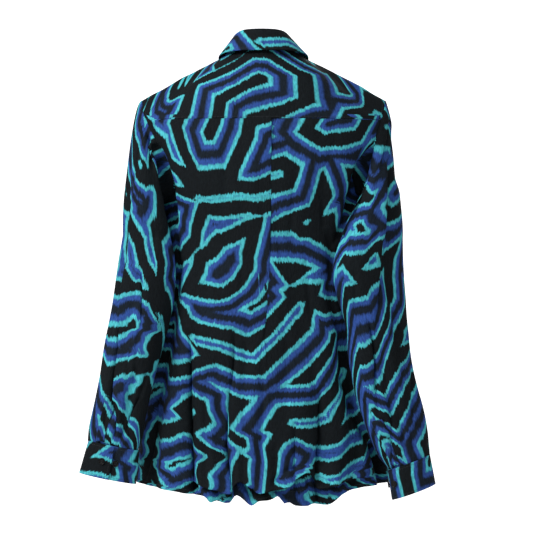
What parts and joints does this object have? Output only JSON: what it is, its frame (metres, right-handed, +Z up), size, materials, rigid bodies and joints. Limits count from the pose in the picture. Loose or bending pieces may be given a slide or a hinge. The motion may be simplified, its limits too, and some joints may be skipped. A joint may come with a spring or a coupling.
{
  "type": "printed shirt",
  "caption": "Long-sleeved shirt hanging filled out and hollow, with a turned-down collar, buttoned front and cuffs, back yoke and centre back pleat, in an all-over print.",
  "frame": {"origin": "middle of the neck opening at the height of the neck seam's sides, where a neck and shoulders hold the shirt up", "axes": "+X to the wearer's right, +Y to the wearer's front, +Z up"},
  "size_m": [0.5953, 0.257, 0.7932],
  "materials": {
    "print_cloth": "thin soft plain-woven cloth with a soft-edged angular print in black, royal blue and turquoise",
    "button": "glossy black resin"
  },
  "bodies": {
    "root": {"yoke": "print_cloth", "back": "print_cloth", "front_right": "print_cloth", "front_left": "print_cloth", "placket": "print_cloth", "collar_stand": "print_cloth", "collar_leaf": "print_cloth", "sleeve_right": "print_cloth", "cuff_right": "print_cloth", "sleeve_slit_right": "print_cloth", "button_cuff_right_1": "button", "button_cuff_right_2": "button", "sleeve_left": "print_cloth", "cuff_left": "print_cloth", "sleeve_slit_left": "print_cloth", "button_cuff_left_1": "button", "button_cuff_left_2": "button", "button_front_1": "button", "button_front_2": "button", "button_front_3": "button", "button_front_4": "button", "button_front_5": "button", "button_front_6": "button", "button_front_7": "button", "button_collar": "button"}
  },
  "joints": []
}
